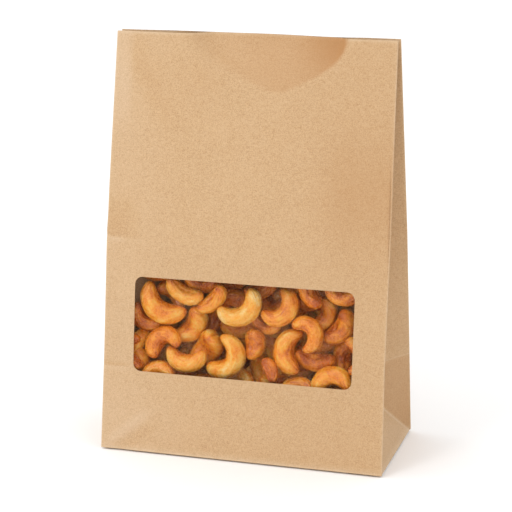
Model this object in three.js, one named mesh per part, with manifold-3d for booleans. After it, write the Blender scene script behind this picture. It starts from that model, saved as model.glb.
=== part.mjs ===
// Brown kraft block-bottom bag with a clear window, filled with roasted cashews.
// Millimetres, +Z up. Origin: middle of the flat bottom, on the surface it stands on.
// +X runs along the front from left to right, the window faces -Y.
import * as THREE from 'three';
import { mergeVertices } from 'three/addons/utils/BufferGeometryUtils.js';
import Module from 'manifold-3d';

const wasm = await Module();
wasm.setup();

// ---------------------------------------------------------------- driving dimensions
const HEIGHT = 228.9;          // flat bottom to mouth
const PAPER = 0.3;             // paper wall, with its glued layers
const FLOOR_T = 0.9;           // block bottom: three layers of paper folded over each other
const Z_KNOTS = [0, 56.6, 121.7, HEIGHT];
const HALF_WIDTH = [80, 79.2, 79.2, 77.7];       // at those heights
const FRONT_Y = [-38.2, -31.6, -23.1, -3.75];
const BACK_Y = [37.9, 32.7, 21.7, 3.75];
const GUSSET_HALF = 38.2;      // width of each half of a side gusset, constant along the bag
const APEX_Z = 33.8;           // top of the triangle that the folded bottom makes in the gusset
const APEX_IN = 17.8;          // how far in that top sits
const MOUTH_DENT = 3.6;        // the front wall falls in between the gusset folds
const MOUTH_BULGE = 2.5;       // the back wall stands out a little there
const SEAM_HALF = 8;           // glued vertical overlap down the middle of the back
const SEAM_T = 0.3;
const WINDOW = { x0: -61.9, x1: 61.5, z0: 45.8, z1: 97.9, r: 4.3 };
const FILM_LAP = 6;            // the film is wider than the window by this much all round
const FILM_T = 0.15;
const GAP = 0.3;               // between pieces that touch
const NUT_BACK = 33;           // the nuts in the window lie within this depth behind the paper
const FILL_TOP = 115;          // level of the nuts in the bag

// ---------------------------------------------------------------- profile of the bag
const lerpAt = (z, ys) => {
  let k = 0;
  while (k < Z_KNOTS.length - 2 && z > Z_KNOTS[k + 1]) k++;
  const t = (z - Z_KNOTS[k]) / (Z_KNOTS[k + 1] - Z_KNOTS[k]);
  return ys[k] + (ys[k + 1] - ys[k]) * t;
};
const smooth = (a, b, v) => { const t = Math.min(1, Math.max(0, (v - a) / (b - a))); return t * t * (3 - 2 * t); };
const frontY = (z) => lerpAt(z, FRONT_Y);
const backY = (z) => lerpAt(z, BACK_Y);
const halfWidth = (z) => lerpAt(z, HALF_WIDTH);
const foldIn = (z) => {                           // inset of the gusset's centre fold
  if (z <= APEX_Z) return APEX_IN;
  const half = (backY(z) - frontY(z)) / 2;
  const free = Math.sqrt(Math.max(0, GUSSET_HALF ** 2 - half ** 2));
  return APEX_IN + (free - APEX_IN) * smooth(APEX_Z, Z_KNOTS[1], z);
};
// the front wall's dent at the mouth: deepest at the rim, gone about 34 mm below it
const dent = (x, z) => {
  const up = (z - 194) / (HEIGHT - 194);
  if (up <= 0) return 0;
  const mid = 6, reach = 44;                      // wider at the rim than lower down
  const side = 1 - smooth(reach * (0.35 + 0.5 * up) - 4, reach * (0.45 + 0.55 * up), Math.abs(x - mid));
  return MOUTH_DENT * side * smooth(0, 1, up);
};
const bulge = (x, z) => MOUTH_BULGE * smooth(150, HEIGHT, z) * (1 - smooth(20, 60, Math.abs(x)));
const seam = (x) => (Math.abs(x) < SEAM_HALF ? SEAM_T : 0);

// one level of the bag's wall: a closed ring of points, w inside the paper's outer face
const FRONT_S = [-1, -0.82, -0.64, -0.5, -0.36, -0.22, -0.08, 0.08, 0.22, 0.36, 0.5, 0.64, 0.82, 1];
function ring(z, w) {
  const hw = halfWidth(z), d = foldIn(z);
  const pts = [];
  const slant = (y) => Math.hypot(d, y) / Math.abs(y);
  const inset = (t, y) => {                       // t: 1 at the panel edge, 0 at the centre fold
    const side = d * (1 - t * (Math.abs(y) - w) / Math.abs(y)) + w * slant(y);
    const tri = APEX_IN * z / APEX_Z + w * Math.hypot(APEX_IN, APEX_Z) / APEX_Z;
    return Math.min(side, tri);
  };
  const fy = frontY(z), by = backY(z);
  // front, left to right
  const cf = hw - inset(1, fy), cb = hw - inset(1, by);
  for (const s of FRONT_S) {
    const x = s * cf;
    pts.push([x, fy + w + dent(x, z), z]);
  }
  // right gusset, front to back, without its two corners
  for (const t of [2 / 3, 1 / 3]) pts.push([hw - inset(t, fy), t * (fy + w), z]);
  pts.push([hw - inset(0, by), 0, z]);
  for (const t of [1 / 3, 2 / 3]) pts.push([hw - inset(t, by), t * (by - w), z]);
  // back, right to left, with the glued overlap standing out on the outside
  const backX = [1, 0.7, 0.45, 0.25].map((s) => s * cb);
  const seamX = [SEAM_HALF + 0.05, SEAM_HALF - 0.05];
  const bx = [...backX, ...seamX, 0, ...seamX.slice().reverse().map((v) => -v), ...backX.slice().reverse().map((v) => -v)];
  for (const x of bx) pts.push([x, by - w + bulge(x, z) + (w ? 0 : seam(x)), z]);
  // left gusset, back to front
  for (const t of [2 / 3, 1 / 3]) pts.push([-(hw - inset(t, by)), t * (by - w), z]);
  pts.push([-(hw - inset(0, by)), 0, z]);
  for (const t of [1 / 3, 2 / 3]) pts.push([-(hw - inset(t, fy)), t * (fy + w), z]);
  return pts;
}

// levels of the wall, with the folded triangle's apex and the two all-round creases
const LEVELS = [0, APEX_Z / 3, 2 * APEX_Z / 3, APEX_Z, 45, Z_KNOTS[1], 78, 100, Z_KNOTS[2],
  140, 158, 176, 194, 203, 212, 220.5, HEIGHT];
const RG = FRONT_S.length - 1;                    // first column of the right gusset
// in the folded triangle the diagonals follow its creases
function risingDiagonal(i, j, n) {
  const rising = (i >= RG && i < RG + 3) || (i >= n - 6 && i < n - 3);
  return j < 3 ? !rising : ((i + j) % 2 === 0);
}

function bagGeometry() {
    const pos = [], idx = [];
  const outer = [], inner = [];
  const add = (p) => { pos.push(p[0], p[1], p[2]); return pos.length / 3 - 1; };
  for (const z of LEVELS) outer.push(ring(z, 0).map(add));
  LEVELS.forEach((z, k) => inner.push(ring(k === 0 ? FLOOR_T : z, PAPER).map(add)));
  const n = outer[0].length;
  const cOut = add([0, 0, 0]), cIn = add([0, 0, FLOOR_T]);
  const quad = (a, b, c, d, flip, diag) => {
    const tris = diag ? [[a, b, d], [b, c, d]] : [[a, b, c], [a, c, d]];
    for (const t of tris) idx.push(...(flip ? [t[0], t[2], t[1]] : t));
  };
  for (let j = 0; j < LEVELS.length - 1; j++) {
    for (let i = 0; i < n; i++) {
      const i2 = (i + 1) % n;
      const diag = risingDiagonal(i, j, n);
      quad(outer[j][i], outer[j][i2], outer[j + 1][i2], outer[j + 1][i], false, diag);
      quad(inner[j][i], inner[j][i2], inner[j + 1][i2], inner[j + 1][i], true, diag);
    }
  }
  const top = LEVELS.length - 1;
  for (let i = 0; i < n; i++) {
    const i2 = (i + 1) % n;
    quad(outer[top][i], outer[top][i2], inner[top][i2], inner[top][i], false, false);
    idx.push(cOut, outer[0][i2], outer[0][i]);
    idx.push(cIn, inner[0][i], inner[0][i2]);
  }
  const g = new THREE.BufferGeometry();
  g.setAttribute('position', new THREE.Float32BufferAttribute(pos, 3));
  g.setIndex(idx);
  return g;
}

// ---------------------------------------------------------------- solids, cut and joined
function toSolid(geometry) {
  const g = geometry.clone();
  for (const name of Object.keys(g.attributes)) if (name !== 'position') g.deleteAttribute(name);
  const m = mergeVertices(g, 1e-5);
  return new wasm.Manifold(new wasm.Mesh({
    numProp: 3,
    vertProperties: new Float32Array(m.attributes.position.array),
    triVerts: new Uint32Array(m.index.array),
  }));
}
function toGeometry(solid) {
  const m = solid.getMesh();
  const g = new THREE.BufferGeometry();
  g.setAttribute('position', new THREE.BufferAttribute(new Float32Array(m.vertProperties), m.numProp));
  g.setIndex(new THREE.BufferAttribute(new Uint32Array(m.triVerts), 1));
  return g;
}

// rounded rectangle, drawn in the x-z plane
function roundedRect(x0, x1, z0, z1, r) {
  const s = new THREE.Shape();
  s.moveTo(x0 + r, z0);
  s.lineTo(x1 - r, z0); s.absarc(x1 - r, z0 + r, r, -Math.PI / 2, 0, false);
  s.lineTo(x1, z1 - r); s.absarc(x1 - r, z1 - r, r, 0, Math.PI / 2, false);
  s.lineTo(x0 + r, z1); s.absarc(x0 + r, z1 - r, r, Math.PI / 2, Math.PI, false);
  s.lineTo(x0, z0 + r); s.absarc(x0 + r, z0 + r, r, Math.PI, Math.PI * 1.5, false);
  return s;
}
// shape (x, z) pushed through the front, from y = a to y = b
function prismY(shape, a, b) {
  const g = new THREE.ExtrudeGeometry(shape, { depth: b - a, bevelEnabled: false, curveSegments: 5 });
  g.rotateX(Math.PI / 2);                         // (x, y, d) -> (x, -d, y)
  g.translate(0, b, 0);
  return g;
}

// front panel's plane between the bottom and the upper crease
const slopeAt = (z) => (z < Z_KNOTS[1]
  ? (FRONT_Y[1] - FRONT_Y[0]) / Z_KNOTS[1]
  : (FRONT_Y[2] - FRONT_Y[1]) / (Z_KNOTS[2] - Z_KNOTS[1]));
// a plate behind the front panel, from depth a to depth b behind the paper's outer face
function plateBehind(x0, x1, zs, a, b) {
  const pos = [], idx = [];
  for (const z of zs) {
    for (const [x, d] of [[x0, a], [x1, a], [x1, b], [x0, b]]) {
      const c = Math.hypot(1, slopeAt(z));
      pos.push(x, frontY(z) + d * c, z);
    }
  }
  for (let k = 0; k < zs.length - 1; k++) {
    const o = 4 * k;
    for (let i = 0; i < 4; i++) {
      const j = (i + 1) % 4;
      idx.push(o + i, o + j, o + 4 + j, o + i, o + 4 + j, o + 4 + i);
    }
  }
  const e = 4 * (zs.length - 1);
  idx.push(0, 2, 1, 0, 3, 2, e, e + 1, e + 2, e, e + 2, e + 3);
  const g = new THREE.BufferGeometry();
  g.setAttribute('position', new THREE.Float32BufferAttribute(pos, 3));
  g.setIndex(idx);
  return g;
}

const bag = toSolid(bagGeometry()).subtract(
  toSolid(prismY(roundedRect(WINDOW.x0, WINDOW.x1, WINDOW.z0, WINDOW.z1, WINDOW.r), -50, -18)));

const film = plateBehind(WINDOW.x0 - FILM_LAP, WINDOW.x1 + FILM_LAP,
  [WINDOW.z0 - FILM_LAP, Z_KNOTS[1], WINDOW.z1 + FILM_LAP], PAPER + GAP, PAPER + GAP + FILM_T);

// ---------------------------------------------------------------- the nuts
// Each nut is a bent, tapered oval body. Its spine is an arc of radius R that turns
// by +-bend about its middle; a and b are the half thicknesses across and along the arc's axis.
// name, centre x y z, turn as a quaternion x y z w, R, bend in degrees, a, b, taper
const NUTS = [
  ['cashew_01', -49.85, -20.95, 80.34, 0.6205, 0.2291, -0.2044, 0.7216, 11.7, 60, 5.64, 5.85, 0.08],
  ['cashew_02', -45.85, -9.74, 84.61, 0.3691, -0.2288, 0.8993, 0.0522, 7.03, 66, 4.31, 4.67, 0.05],
  ['cashew_03', -36.51, -18.15, 88.36, 0.8796, 0.0679, -0.1914, 0.4302, 9.5, 60, 4.4, 4.8, 0.05],
  ['cashew_04', -27.96, -12.45, 93.21, 0.9143, 0.0117, -0.0504, 0.4017, 7.37, 66, 4.31, 4.67, 0.05],
  ['cashew_05', -18.94, -20.52, 86.26, 0.8633, -0.0749, 0.4049, 0.2918, 8.74, 54, 3.93, 4.31, 0.06],
  ['cashew_06', -32.93, -12.62, 68.45, 0.8331, -0.1429, 0.4572, 0.2766, 8.26, 58, 5.19, 5.84, 0.06],
  ['cashew_07', -9.32, -8.61, 83.65, 0.1506, -0.1187, 0.9799, 0.0542, 6.86, 66, 4.31, 4.67, 0.05],
  ['cashew_08', -2.39, -21.45, 81.61, 0.6709, -0.1613, 0.2482, 0.6799, 9.77, 70, 5.31, 5.61, 0.12],
  ['cashew_09', -59.99, -17.72, 71.59, 0.7796, 0.2885, -0.1838, 0.5246, 7.38, 70, 4.38, 4.75, 0.05],
  ['cashew_10', -47.52, -23.66, 62.12, -0.2228, -0.4685, 0.8464, -0.1206, 7.2, 80, 4.68, 5.1, 0.1],
  ['cashew_11', -33.61, -25.1, 52.06, 0.714, -0.0074, -0.0268, 0.6996, 9.57, 60, 4.73, 5.35, 0.05],
  ['cashew_12', -21.24, -12.77, 56.09, 0.8826, -0.1316, 0.4422, 0.0902, 7.5, 62, 5.54, 6.48, 0.05],
  ['cashew_13', -9.48, -24.07, 54.76, 0.5828, -0.3974, 0.3553, 0.6133, 9.33, 84, 5.14, 5.67, -0.14],
  ['cashew_14', -21.76, -3.91, 72.3, -0.4826, -0.2312, 0.843, -0.0551, 8.4, 66, 4.6, 5, 0.05],
  ['cashew_15', -48.97, -25.8, 44.14, -0.024, -0.441, 0.8968, -0.0241, 6.86, 72, 4.22, 4.49, 0.05],
  ['cashew_16', -65.35, -24.52, 54.19, 0.6416, 0.2639, -0.6256, 0.3569, 7.37, 72, 4.31, 4.67, 0.05],
  ['cashew_17', -37.73, -6.48, 53.41, 0.5123, -0.1181, 0.8199, 0.2265, 8.4, 66, 4.8, 5.2, 0.05],
  ['cashew_18', -7.89, -4.93, 66.61, 0.9246, -0.0198, 0.0795, 0.372, 8.4, 66, 4.9, 5.2, 0.05],
  ['cashew_19', -25.71, -17.97, 35.98, -0.006, -0.2495, 0.967, -0.0521, 8.4, 66, 4.8, 5, 0.05],
  ['cashew_20', -5.03, -17.26, 41.11, 0.0664, -0.3487, 0.9276, 0.1163, 7.2, 66, 4.31, 4.67, 0.05],
  ['cashew_21', 5.74, -9.38, 92.42, 0.8943, -0.0137, 0.3168, 0.3157, 7.2, 66, 4.67, 5.03, 0.05],
  ['cashew_22', 20.16, -20.26, 83.66, 0.5266, -0.2517, 0.3742, 0.7206, 7.77, 82, 4.94, 5.34, 0.06],
  ['cashew_23', 9.17, -13.16, 72.05, 0.8524, 0.0222, -0.1049, 0.5117, 7.72, 62, 3.5, 3.95, 0.05],
  ['cashew_24', 33.72, -17.67, 94.63, 0.8329, 0.1364, -0.4855, 0.228, 7.37, 66, 4.49, 4.85, 0.1],
  ['cashew_25', 54.01, -17.59, 94.49, 0.8323, -0.0253, 0.0507, 0.5514, 7.81, 66, 4.71, 5.07, 0.05],
  ['cashew_26', 36.09, -22.84, 72.61, 0.3083, -0.4974, 0.7028, 0.4045, 6.9, 86, 4.42, 4.8, 0.1],
  ['cashew_27', 51.84, -14.52, 74.37, 0.8162, -0.1843, 0.4324, 0.3359, 7.72, 62, 5.39, 5.75, 0.05],
  ['cashew_28', 41.38, -10.17, 79.6, 0.7283, -0.1784, 0.549, 0.3693, 7.54, 66, 4.49, 4.85, 0.05],
  ['cashew_29', 34.49, -2.42, 85.8, 0.9202, 0.0451, 0.1889, 0.34, 8.4, 66, 4.8, 5.2, 0.05],
  ['cashew_30', 3.96, -18.57, 62.17, 0.714, -0.0157, 0.6915, 0.109, 5.55, 52, 4.84, 5.37, 0.1],
  ['cashew_31', 11.27, -5.29, 60.43, 0.6898, 0.1284, -0.6001, 0.3841, 8.8, 64, 4.8, 5.2, 0.05],
  ['cashew_32', 23.23, -21.6, 61.41, -0.4391, -0.4142, 0.5928, -0.5331, 9.69, 64, 5.35, 5.66, 0.1],
  ['cashew_33', 37.52, -15.84, 54.89, 0.9173, 0.0115, -0.0569, 0.394, 9.12, 58, 4.83, 5.13, 0.08],
  ['cashew_34', 49.41, -25.67, 48.43, -0.071, -0.527, 0.846, -0.0384, 8.06, 70, 5.21, 5.39, 0.08],
  ['cashew_35', 28.54, -8.12, 49.62, 0.6889, -0.1132, 0.6319, 0.3366, 8, 66, 4.4, 4.8, 0.05],
  ['cashew_36', 4.93, -11.32, 45.09, 0.772, 0.1042, -0.5657, 0.2704, 7.61, 62, 4.7, 4.88, 0.05],
  ['cashew_37', 14.82, -25.92, 50.95, 0.5277, -0.0388, 0.8397, 0.1217, 6.33, 40, 3.38, 3.7, 0.1],
  ['cashew_38', 29.29, -23.05, 41.24, -0.0701, -0.4052, 0.9106, -0.0425, 7.2, 66, 4.49, 4.67, 0.05],
  ['cashew_39', 62.87, -21.61, 61.46, 0.4431, -0.2573, 0.7456, 0.4261, 7.37, 72, 4.49, 4.67, 0.05],
  ['cashew_40', 51.99, -10.79, 55.6, -0.6029, -0.1601, 0.6991, -0.3494, 8.6, 66, 4.8, 5.2, 0.05],
  ['cashew_41', 41.76, -5.18, 63.8, 0.8685, 0.0641, 0.337, 0.3577, 8.4, 66, 4.8, 5.2, 0.05],
  ['cashew_42', 9.91, -3.14, 81.32, 0.8575, -0.1391, -0.1806, 0.4612, 8.4, 66, 4.8, 5.2, 0.05],
  ['cashew_43', -41.19, -8.34, 37.66, 0.935, 0.0489, -0.0028, 0.3514, 8.4, 66, 4.8, 5.2, 0.05],
  ['cashew_44', 53.52, -10.26, 41.77, 0.6286, 0.2269, 0.4829, 0.5658, 8.4, 66, 4.8, 5.2, 0.05],
  ['cashew_45', -51.62, -12.11, 98.21, 0.9698, 0.0396, 0.0787, 0.2275, 8.4, 66, 4.8, 5.2, 0.05],
  ['cashew_46', -16.25, -1.61, 92.38, 0.9404, -0.0321, 0.0144, 0.3383, 8.4, 66, 4.8, 5.2, 0.05],
  ['cashew_47', 13.91, -9.32, 35.7, 0.8943, -0.2965, 0.1649, 0.2917, 8.4, 66, 4.8, 5.2, 0.05],
];
const RINGS = [-0.97, -0.8, -0.45, 0, 0.45, 0.8, 0.97];
const SIDES = 8;
function nutGeometry(R, bendDeg, a, b, taper) {
  const bend = bendDeg * Math.PI / 180;
  const reach = bend + 0.85 * a / R;
  const mid = -((-R - a) + (-R * Math.cos(bend) + 0.8 * a)) / 2;
  const spine = (s) => [R * Math.sin(s * reach), -R * Math.cos(s * reach) + mid];
  const girth = (s, r) => r * Math.sqrt(Math.max(0, 1 - Math.abs(s) ** 3)) * (1 + taper * s) * (1 + 0.05 * Math.cos(Math.PI * s)) / 1.05;
  const pos = [], idx = [];
  for (const s of RINGS) {
    const [cx, cy] = spine(s);
    const ux = Math.sin(s * reach), uy = -Math.cos(s * reach);
    for (let k = 0; k < SIDES; k++) {
      const t = 2 * Math.PI * k / SIDES;
      const r = girth(s, a) * Math.cos(t), h = girth(s, b) * Math.sin(t);
      pos.push(cx + r * ux, cy + r * uy, h);
    }
  }
  for (let j = 0; j < RINGS.length - 1; j++) {
    for (let k = 0; k < SIDES; k++) {
      const p = j * SIDES + k, q = j * SIDES + (k + 1) % SIDES;
      idx.push(p, q + SIDES, q, p, p + SIDES, q + SIDES);
    }
  }
  for (const end of [0, 1]) {
    const s = end ? 1 : -1, c = spine(s), o = end ? (RINGS.length - 1) * SIDES : 0;
    pos.push(c[0], c[1], 0);
    const v = pos.length / 3 - 1;
    for (let k = 0; k < SIDES; k++) {
      const p = o + k, q = o + (k + 1) % SIDES;
      if (end) idx.push(v, q, p); else idx.push(v, p, q);
    }
  }
  const g = new THREE.BufferGeometry();
  g.setAttribute('position', new THREE.Float32BufferAttribute(pos, 3));
  g.setIndex(idx);
  return g;
}

// ---------------------------------------------------------------- the rest of the filling
// One solid of the outer shape of the unseen heap: the bag's inside up to the fill level,
// less the pocket behind the window in which the nuts above lie one by one.
const FILL_CLEAR = 1.0;                            // clear of the paper
function fillGeometry() {
  const pos = [], idx = [], rings = [];
  const add = (p) => { pos.push(...p); return pos.length / 3 - 1; };
  const zs = LEVELS.filter((z) => z <= 100).map((z, k) => (k ? z : FLOOR_T + 0.5));
  zs.push(FILL_TOP - 6);
  for (const z of zs) rings.push(ring(z, FILL_CLEAR).map(add));
  // the heap's top: two inner rings of uneven height, then the middle
  const rim = ring(FILL_TOP - 6, FILL_CLEAR);
  const heap = (x, y) => FILL_TOP + 2.2 * Math.sin(x / 15 + 0.6) + 1.6 * Math.cos(y / 7 - x / 23) - 1.5;
  for (const k of [0.72, 0.36]) rings.push(rim.map(([x, y]) => add([x * k, y * k, heap(x * k, y * k)])));
  const top = add([0, 0, heap(0, 0)]), low = add([0, 0, zs[0]]);
  const n = rings[0].length;
  for (let j = 0; j < rings.length - 1; j++) {
    for (let i = 0; i < n; i++) {
      const i2 = (i + 1) % n, a = rings[j][i], b = rings[j][i2], c = rings[j + 1][i2], d = rings[j + 1][i];
      if (risingDiagonal(i, j, n)) idx.push(a, b, d, b, c, d); else idx.push(a, b, c, a, c, d);
    }
  }
  for (let i = 0; i < n; i++) {
    const i2 = (i + 1) % n;
    idx.push(low, rings[0][i2], rings[0][i]);
    idx.push(top, rings[rings.length - 1][i], rings[rings.length - 1][i2]);
  }
  const g = new THREE.BufferGeometry();
  g.setAttribute('position', new THREE.Float32BufferAttribute(pos, 3));
  g.setIndex(idx);
  return g;
}
const pocket = plateBehind(-76, 76, [27, Z_KNOTS[1], 107.5], 0.2, NUT_BACK);
const filling = toSolid(fillGeometry()).subtract(toSolid(pocket));

// ---------------------------------------------------------------- scene graph
const kraft = new THREE.MeshStandardMaterial({ color: 0xd0a679, roughness: 0.85, metalness: 0 });
const clear = new THREE.MeshStandardMaterial({ color: 0xf4f1ec, roughness: 0.12, metalness: 0, transparent: true, opacity: 0.25 });
const roasted = new THREE.MeshStandardMaterial({ color: 0xd9924f, roughness: 0.42, metalness: 0 });
const heapTone = new THREE.MeshStandardMaterial({ color: 0xc07f44, roughness: 0.5, metalness: 0 });

const group = new THREE.Group();
function node(name, geometry, material) {
  const mesh = new THREE.Mesh(geometry, material);
  mesh.name = name;
  group.add(mesh);
  return mesh;
}
node('paper_bag', toGeometry(bag), kraft);
node('window_film', film, clear);
node('nut_filling', toGeometry(filling), heapTone);
for (const [name, x, y, z, qx, qy, qz, qw, R, bend, a, b, taper] of NUTS) {
  const m = node(name, nutGeometry(R, bend, a, b, taper), roasted);
  m.position.set(x, y, z);
  m.quaternion.set(qx, qy, qz, qw).normalize();
}

export default group;
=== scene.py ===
"""Brown kraft block-bottom bag with a clear window, full of roasted cashews.

Lengths are worked out in millimetres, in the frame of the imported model, and the meshes are made in metres.
"""
import bpy
import math
import numpy as np
from mathutils import Matrix, Quaternion, Vector, noise


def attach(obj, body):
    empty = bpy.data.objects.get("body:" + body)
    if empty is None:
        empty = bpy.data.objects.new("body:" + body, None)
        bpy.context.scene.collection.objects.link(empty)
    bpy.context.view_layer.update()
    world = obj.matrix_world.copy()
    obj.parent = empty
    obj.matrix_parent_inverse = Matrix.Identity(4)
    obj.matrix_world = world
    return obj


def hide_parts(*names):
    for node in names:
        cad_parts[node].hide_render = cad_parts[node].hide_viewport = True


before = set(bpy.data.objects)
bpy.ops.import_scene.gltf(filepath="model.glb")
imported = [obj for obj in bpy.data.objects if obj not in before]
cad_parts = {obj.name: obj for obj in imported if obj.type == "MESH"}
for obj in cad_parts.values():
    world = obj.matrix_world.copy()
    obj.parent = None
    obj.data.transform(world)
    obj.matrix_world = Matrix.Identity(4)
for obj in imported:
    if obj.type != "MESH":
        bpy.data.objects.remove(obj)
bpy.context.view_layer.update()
scene = bpy.context.scene
MM = 0.001

# ------------------------------------------------------------------ the bag's profile, as in the construction model
HEIGHT, PAPER, FLOOR_T = 228.9, 0.3, 0.9
Z_KNOTS = np.array([0, 56.6, 121.7, HEIGHT])
HALF_WIDTH = np.array([80, 79.2, 79.2, 77.7])
FRONT_Y = np.array([-38.2, -31.6, -23.1, -3.75])
BACK_Y = np.array([37.9, 32.7, 21.7, 3.75])
GUSSET_HALF, APEX_Z, APEX_IN = 38.2, 33.8, 17.8
WIN = dict(x0=-61.9, x1=61.5, z0=45.8, z1=97.9, r=4.3)


def smooth(a, b, v):
    t = np.clip((np.asarray(v, float) - a) / (b - a), 0, 1)
    return t * t * (3 - 2 * t)


def bell(v, c, w):
    return np.exp(-((np.asarray(v, float) - c) / w) ** 2)


def front_y(z):
    return np.interp(z, Z_KNOTS, FRONT_Y)


def back_y(z):
    return np.interp(z, Z_KNOTS, BACK_Y)


def half_width(z):
    return np.interp(z, Z_KNOTS, HALF_WIDTH)


def fold_in(z):
    half = (back_y(z) - front_y(z)) / 2
    free = np.sqrt(np.maximum(0, GUSSET_HALF ** 2 - half ** 2))
    return np.where(z <= APEX_Z, APEX_IN, APEX_IN + (free - APEX_IN) * smooth(APEX_Z, Z_KNOTS[1], z))


def value_noise(x, y, seed, scale):
    """smooth noise, -1 to 1, over arrays of places in mm"""
    x, y = np.broadcast_arrays(np.asarray(x, float), np.asarray(y, float))
    out = np.empty(x.shape)
    flat, fx, fy = out.ravel(), x.ravel(), y.ravel()
    for i in range(flat.size):
        flat[i] = noise.noise(Vector((fx[i] / scale, fy[i] / scale, seed * 7.31)))
    return flat.reshape(x.shape) * 1.7


# ------------------------------------------------------------------ how the paper has bent
def dent_sides(z):
    up = np.clip((z - 198.6) / (HEIGHT - 198.6), 0, 1)
    return up, 12.7 - 50.3 * (1 - (1 - up) ** 1.85), 12.7 + 38.2 * (1 - (1 - up) ** 2.2)


def dent_shape(x, z):
    """0 to 1: where the front has fallen back against the back panel, between the gusset folds"""
    up, left, right = dent_sides(z)
    inside = smooth(left - 2.0, left + 15, x) * (1 - smooth(right - 5.0, right + 0.3, x))
    return inside * smooth(0.0, 0.95, up) * (1 - 0.52 * smooth(2, 46, x))


def back_out(x, z):
    """how far the back panel leans out beyond its flat shape near the mouth, mm: it meets the front's dent"""
    up, left, right = dent_sides(z)
    meet = 1.6 - 3.3 * smooth(6, 42, x) * smooth(0.45, 1.0, up)
    return smooth(150, HEIGHT, z) * meet * (1 - smooth(46, 60, x)) * (1 - smooth(42, 70, -x))


def painted_shade_of(x, z):
    """painted shade (below 0) and painted highlight (above 0) on the front: darker in the dent, along creases and on
    slopes turned from the light, paler on the left side and on folds that face it
    """
    up, left, right = dent_sides(z)
    inside = smooth(left - 3, left + 9, x) * (1 - smooth(right - 1.5, right + 0.5, x)) * smooth(0.0, 0.08, up)
    t = -0.050 * inside - 0.075 * inside * smooth(-25, 10, x) - 0.17 * inside * smooth(14, 47, x) * smooth(0.05, 0.8, up)
    t = t + 0.05 * bell(x, right + 2.0, 1.4) * smooth(0.75, 1.0, up)          # the ridge beside it catches the light
    t = t - 0.105 * smooth(28, 58, x) * bell(z, 148, 31) - 0.035 * smooth(-10, 60, x)
    t = t + 0.060 * smooth(-66, -71, x) * smooth(165, 200, z)
    t = t - 0.060 * bell((x + 58) * 0.88 + (z - 205) * 0.47, 0, 7) * bell(z, 205, 22)
    t = t - 0.035 * bell(x, -30, 14) * bell(z, 205, 12)
    t = t + 0.035 * smooth(-30, -76, x) + 0.03 * bell(z, 18, 22) * smooth(0, -60, x)
    u = (x + 79) * 0.62 - (z - 2) * 0.78
    v = (x + 79) * 0.78 + (z - 2) * 0.62
    t = t + 0.055 * bell(u, 0, 3.0) * smooth(0, 6, v) * (1 - smooth(24, 42, v))
    t = t - 0.035 * bell(u, 7.5, 4.0) * smooth(0, 6, v) * (1 - smooth(24, 42, v))
    crease = smooth(118.6, 120.0, z) * (1 - smooth(122, 150, z))
    t = t - 0.085 * smooth(-56, -72, x) * crease + 0.06 * bell(z, 117.6, 1.4) * smooth(-66, -74, x)
    t = t + 0.05 * bell(z, 46.6, 1.0) * smooth(-62, -68, x) - 0.05 * bell(z, 48.6, 1.0) * smooth(-62, -68, x)
    return t


def front_in(x, z):
    """how far the front panel lies inside its flat shape, mm"""
    d = 8.1 * dent_shape(x, z)
    # the right side turns back towards its fold, the left one stands a little proud
    d = d + 0.9 * smooth(36, 82, x) * bell(z, 138, 30)
    d = d + 0.7 * bell(x - (z - 150) * 0.35, -18, 16) * bell(z, 176, 34)
    d = d - 0.8 * bell(x, -46, 22) * bell(z, 150, 40)
    d = d - 0.5 * bell(x, 5, 30) * bell(z, 150, 26)
    # press mark from the left edge at the upper all-round crease, with a hollow above it
    d = d + 0.55 * bell(x, -74, 9) * bell(z, 131.5, 8) * smooth(-90, -80, -np.abs(x))
    d = d + 0.45 * bell(z, 119.4, 1.3) * smooth(-64, -74, x)
    # fold-up crease of the bottom, all round
    d = d + 0.22 * bell(z, 48.0, 1.1) * (0.45 + 0.55 * smooth(60, 76, np.abs(x)))
    # slanting ridge at the lower left
    u = (x + 79) * 0.62 - (z - 2) * 0.78
    v = (x + 79) * 0.78 + (z - 2) * 0.62
    d = d - 0.55 * bell(u, 0, 2.6) * smooth(0, 6, v) * (1 - smooth(24, 40, v))
    d = d + 0.35 * bell(u, 6.5, 4) * smooth(0, 8, v) * (1 - smooth(24, 40, v))
    return d


# ------------------------------------------------------------------ mesh helpers
def make_object(name, verts, faces, material=None, smooth_angle=35.0, attributes=None):
    me = bpy.data.meshes.new(name)
    me.from_pydata([tuple(v) for v in np.asarray(verts, float) * MM], [], [tuple(int(i) for i in f) for f in faces])
    for key, values in (attributes or {}).items():
        a = me.attributes.new(key, "FLOAT", "POINT")
        a.data.foreach_set("value", np.asarray(values, np.float32))
    me.shade_smooth()
    if smooth_angle:
        me.set_sharp_from_angle(angle=math.radians(smooth_angle))
    me.update()
    ob = bpy.data.objects.new(name, me)
    scene.collection.objects.link(ob)
    if material:
        me.materials.append(material)
    return ob


def steps(knots, h):
    out = [knots[0]]
    for a, b in zip(knots[:-1], knots[1:]):
        n = max(1, int(math.ceil((b - a) / h - 1e-6)))
        out += [a + (b - a) * k / n for k in range(1, n + 1)]
    return np.array(out)


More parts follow.
